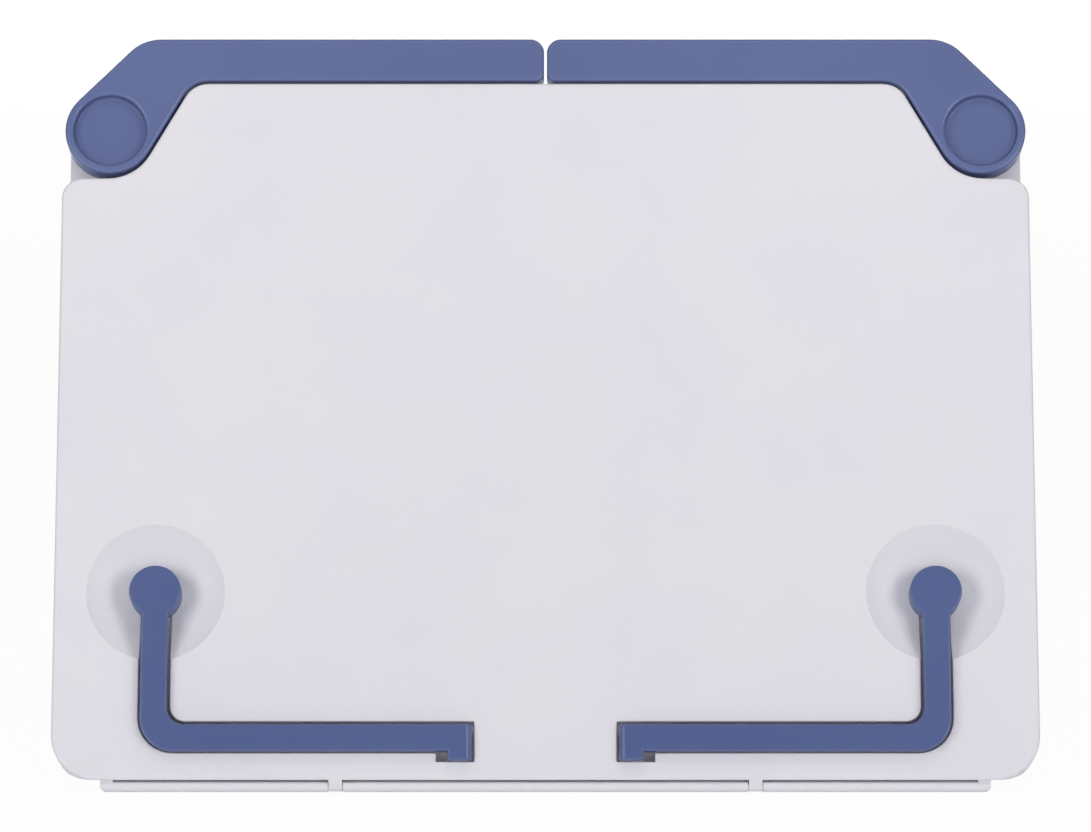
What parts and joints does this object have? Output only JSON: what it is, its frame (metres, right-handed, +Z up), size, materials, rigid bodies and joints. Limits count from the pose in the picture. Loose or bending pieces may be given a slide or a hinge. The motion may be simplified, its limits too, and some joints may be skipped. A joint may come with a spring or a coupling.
{
  "type": "tabletop music stand",
  "caption": "Folding tabletop music stand: leaning flat panel with swing-out top arms, sprung swivel page clips, fold-out ledge and rear leg with wire prop.",
  "frame": {"origin": "middle of the foot strip's underside, on the table", "axes": "+X to the right along the panel's width, +Y back from the player towards the leg, +Z up from the table"},
  "size_m": [0.33, 0.1262, 0.2433],
  "materials": {
    "panel_plastic": "fine satin texture",
    "blue_plastic": "satin",
    "steel": "zinc plated",
    "nylon": "natural",
    "rubber": "matt"
  },
  "bodies": {
    "stand": {"front_panel": "panel_plastic", "rear_cover": "panel_plastic", "cover_screws": "steel", "foot_strip": "rubber", "ledge_hinge_pins": "steel", "leg_hinge_rod": "steel", "notch_rack": "blue_plastic", "rack_screws": "steel", "left_arm_bush": "steel", "left_arm_washer": "steel", "left_arm_wave_washer": "steel", "left_arm_friction_washer": "nylon", "left_arm_screw": "steel", "right_arm_bush": "steel", "right_arm_washer": "steel", "right_arm_wave_washer": "steel", "right_arm_friction_washer": "nylon", "right_arm_screw": "steel"},
    "left_arm": {"left_arm": "blue_plastic", "left_arm_cap": "blue_plastic"},
    "left_clip_bush": {"left_clip_bush": "nylon"},
    "left_clip": {"left_clip": "blue_plastic", "left_clip_spring": "steel", "left_clip_washer": "steel", "left_clip_screw": "steel"},
    "right_arm": {"right_arm": "blue_plastic", "right_arm_cap": "blue_plastic"},
    "right_clip_bush": {"right_clip_bush": "nylon"},
    "right_clip": {"right_clip": "blue_plastic", "right_clip_spring": "steel", "right_clip_washer": "steel", "right_clip_screw": "steel"},
    "ledge": {"ledge": "panel_plastic"},
    "leg": {"support_leg": "panel_plastic", "leg_foot_pad": "rubber"},
    "prop": {"prop_wire": "steel"}
  },
  "joints": [
    {"name": "left_arm_swing", "type": "hinge", "parent": "stand", "child": "left_arm", "pos_m": [-0.149, 0.06229, 0.21352], "axis": [0, -0.9272, 0.3746], "range_deg": [0, 120]},
    {"name": "left_clip_swivel", "type": "hinge", "parent": "stand", "child": "left_clip_bush", "pos_m": [-0.1308, 0.00186, 0.06396], "axis": [0, -0.9272, 0.3746], "range_deg": [0, 180]},
    {"name": "left_clip_lift", "type": "slide", "parent": "left_clip_bush", "child": "left_clip", "axis": [0, -0.9272, 0.3746], "range_m": [0, 0.005], "stiffness_N_per_m": 250, "springref_m": -0.008, "deforming": ["left_clip_spring"]},
    {"name": "right_arm_swing", "type": "hinge", "parent": "stand", "child": "right_arm", "pos_m": [0.149, 0.06229, 0.21352], "axis": [0, 0.9272, -0.3746], "range_deg": [0, 120]},
    {"name": "right_clip_swivel", "type": "hinge", "parent": "stand", "child": "right_clip_bush", "pos_m": [0.1308, 0.00186, 0.06396], "axis": [0, 0.9272, -0.3746], "range_deg": [0, 180]},
    {"name": "right_clip_lift", "type": "slide", "parent": "right_clip_bush", "child": "right_clip", "axis": [0, -0.9272, 0.3746], "range_m": [0, 0.005], "stiffness_N_per_m": 250, "springref_m": -0.008, "deforming": ["right_clip_spring"]},
    {"name": "ledge_fold", "type": "hinge", "parent": "stand", "child": "ledge", "pos_m": [0, -0.0202, 0.0023], "axis": [-1, 0, 0], "range_deg": [0, 180]},
    {"name": "leg_fold", "type": "hinge", "parent": "stand", "child": "leg", "pos_m": [0, 0.07222, 0.18793], "axis": [1, 0, 0], "range_deg": [-30, 25]},
    {"name": "prop_fold", "type": "hinge", "parent": "leg", "child": "prop", "pos_m": [0, 0.08085, 0.12653], "axis": [1, 0, 0], "range_deg": [-50, 60]}
  ],
  "couplings": [
    {"joint": "prop_fold", "follows": "leg_fold", "ratio": -2}
  ]
}
